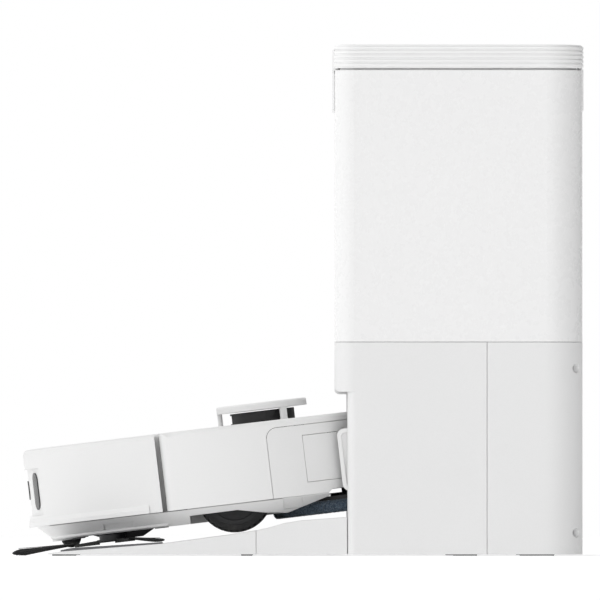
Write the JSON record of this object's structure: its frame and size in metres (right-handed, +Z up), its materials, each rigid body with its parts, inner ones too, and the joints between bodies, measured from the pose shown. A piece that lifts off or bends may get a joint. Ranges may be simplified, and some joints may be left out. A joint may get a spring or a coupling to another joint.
{
  "type": "robot vacuum with docking station",
  "caption": "Round robot vacuum and mop with a laser turret, parked nose-down on the ramp of a tall tower dock that empties it and washes its mops.",
  "frame": {"origin": "on the floor, in the middle of the tower's depth and width, at the centre foot's underside", "axes": "+X from the robot's nose towards the tower's rear, +Y towards the robot's right side, +Z up"},
  "size_m": [0.4809, 0.3618, 0.427],
  "materials": {
    "robot_shell": "satin",
    "robot_deck": "satin",
    "dock_gloss": "gloss",
    "dock_matte": "matte",
    "dock_lid": "satin",
    "ramp": "matte",
    "tread": "matte",
    "black_plastic": "satin",
    "dark_inner": "matte",
    "dark_window": "polished",
    "tyre": "matte",
    "rubber": "matte",
    "roller": "matte",
    "bristle": "satin",
    "mop": "fluffy",
    "steel": "brushed",
    "screw": "zinc",
    "tank": "gloss",
    "dirty_tank": "gloss",
    "bag": "fibre",
    "board": "solder mask",
    "battery": "wrap",
    "filter": "pleated",
    "guard": "matte",
    "bin": "gloss",
    "washboard": "matte"
  },
  "bodies": {
    "dock": {"dock_lower_housing": "dock_matte", "dock_rear_cover": "dock_matte", "rear_cover_screws": "screw", "dock_upper_housing": "dock_gloss", "exhaust_grille": "dock_matte", "clean_water_tank": "tank", "dirty_water_tank": "dirty_tank", "dust_bag": "bag", "dock_fan": "dark_inner", "base_tray": "dock_matte", "wash_tray": "washboard", "ramp": "ramp", "ramp_tread": "tread", "dust_nozzle": "robot_shell", "guide_pad": "robot_shell", "dock_contacts": "steel", "water_pump": "dark_inner", "dock_board": "board", "dock_feet": "rubber"},
    "dock_lid": {"dock_lid": "dock_lid"},
    "robot": {"chassis": "robot_shell", "top_shell": "robot_deck", "rear_housing": "robot_shell", "dustbin": "bin", "dustbin_filter": "filter", "suction_fan": "dark_inner", "battery": "battery", "main_board": "board", "brush_guard": "guard", "brush_motor": "dark_inner", "side_brush_motor": "dark_inner", "turret_base": "black_plastic", "turret_cap": "robot_shell", "robot_contacts": "steel", "cliff_windows": "dark_window", "robot_screws": "screw"},
    "bumper": {"bumper": "robot_shell", "sensor_windows": "dark_window"},
    "dustbin_lid": {"dustbin_lid": "robot_deck"},
    "dust_port_flap": {"dust_port_flap": "robot_shell"},
    "power_button": {"power_button": "dark_window"},
    "home_button": {"home_button": "dark_window"},
    "lidar_drum": {"lidar_drum": "black_plastic"},
    "brush_roller": {"brush_roller": "roller"},
    "side_brush": {"side_brush_hub": "black_plastic", "side_brush_bristles": "bristle"},
    "wheel_arm_left": {"wheel_arm_left": "dark_inner"},
    "wheel_arm_right": {"wheel_arm_right": "dark_inner"},
    "wheel_left": {"tyre_left": "tyre", "wheel_hub_left": "black_plastic"},
    "wheel_right": {"tyre_right": "tyre", "wheel_hub_right": "black_plastic"},
    "caster_fork": {"caster_fork": "black_plastic"},
    "caster_wheel": {"caster_wheel": "rubber"},
    "mop_lift": {"mop_lift_yoke": "dark_inner", "mop_motor": "dark_inner"},
    "mop_left": {"mop_pad_left": "mop", "mop_plate_left": "black_plastic"},
    "mop_right": {"mop_pad_right": "mop", "mop_plate_right": "black_plastic"}
  },
  "joints": [
    {"name": "lid_lift", "type": "slide", "parent": "dock", "child": "dock_lid", "axis": [0, 0, 1], "range_m": [0, 0.05]},
    {"name": "drive_out", "type": "hinge", "parent": "dock", "child": "robot", "pos_m": [-0.51825, 0, 2.8736], "axis": [0, 1, 0], "range_deg": [0, 6.7]},
    {"name": "bumper_press", "type": "slide", "parent": "robot", "child": "bumper", "axis": [0.9932, 0, 0.1167], "range_m": [0, 0.0035], "stiffness_N_per_m": 400, "springref_m": -0.003},
    {"name": "dustbin_lid_hinge", "type": "hinge", "parent": "robot", "child": "dustbin_lid", "pos_m": [-0.24094, 0, 0.10157], "axis": [0, 1, 0], "range_deg": [0, 75]},
    {"name": "dust_flap_hinge", "type": "hinge", "parent": "robot", "child": "dust_port_flap", "pos_m": [-0.11752, -0.15465, 0.10172], "axis": [0.8945, 0.4344, 0.1051], "range_deg": [0, 50], "stiffness_Nm_per_rad": 0.02, "springref_deg": -11.46},
    {"name": "power_press", "type": "slide", "parent": "robot", "child": "power_button", "axis": [-0.1167, 0, 0.9932], "range_m": [-0.0012, 0], "stiffness_N_per_m": 300, "springref_m": 0.001},
    {"name": "home_press", "type": "slide", "parent": "robot", "child": "home_button", "axis": [-0.1167, 0, 0.9932], "range_m": [-0.0012, 0], "stiffness_N_per_m": 300, "springref_m": 0.001},
    {"name": "lidar_spin", "type": "hinge", "parent": "robot", "child": "lidar_drum", "pos_m": [-0.16385, 0, 0.11219], "axis": [-0.1167, 0, 0.9932], "continuous": true},
    {"name": "main_brush_spin", "type": "hinge", "parent": "robot", "child": "brush_roller", "pos_m": [-0.27994, 0, 0.03502], "axis": [0, 1, 0], "continuous": true},
    {"name": "side_brush_spin", "type": "hinge", "parent": "robot", "child": "side_brush", "pos_m": [-0.29014, -0.097, 0.01469], "axis": [-0.1167, 0, 0.9932], "continuous": true},
    {"name": "suspension_left", "type": "hinge", "parent": "robot", "child": "wheel_arm_left", "pos_m": [-0.16143, -0.103, 0.07612], "axis": [0, 1, 0], "range_deg": [0, 11], "stiffness_Nm_per_rad": 8, "springref_deg": -8.59},
    {"name": "suspension_right", "type": "hinge", "parent": "robot", "child": "wheel_arm_right", "pos_m": [-0.16143, 0.103, 0.07612], "axis": [0, 1, 0], "range_deg": [0, 11], "stiffness_Nm_per_rad": 8, "springref_deg": -8.59},
    {"name": "wheel_left_spin", "type": "hinge", "parent": "wheel_arm_left", "child": "wheel_left", "pos_m": [-0.18764, -0.12, 0.05069], "axis": [0, 1, 0], "continuous": true},
    {"name": "wheel_right_spin", "type": "hinge", "parent": "wheel_arm_right", "child": "wheel_right", "pos_m": [-0.18764, 0.12, 0.05069], "axis": [0, 1, 0], "continuous": true},
    {"name": "caster_swivel", "type": "hinge", "parent": "robot", "child": "caster_fork", "pos_m": [-0.32925, 0, 0.0262], "axis": [-0.1167, 0, 0.9932], "continuous": true},
    {"name": "caster_roll", "type": "hinge", "parent": "caster_fork", "child": "caster_wheel", "pos_m": [-0.32592, 0, 0.01502], "axis": [0, 1, 0], "continuous": true},
    {"name": "mop_lift", "type": "slide", "parent": "robot", "child": "mop_lift", "axis": [-0.1167, 0, 0.9932], "range_m": [-0.006, 0]},
    {"name": "mop_left_spin", "type": "hinge", "parent": "mop_lift", "child": "mop_left", "pos_m": [-0.09139, -0.068, 0.05415], "axis": [-0.1167, 0, 0.9932], "continuous": true},
    {"name": "mop_right_spin", "type": "hinge", "parent": "mop_lift", "child": "mop_right", "pos_m": [-0.09139, 0.068, 0.05415], "axis": [-0.1167, 0, 0.9932], "continuous": true}
  ],
  "couplings": [
    {"joint": "mop_right_spin", "follows": "mop_left_spin", "ratio": -1}
  ]
}
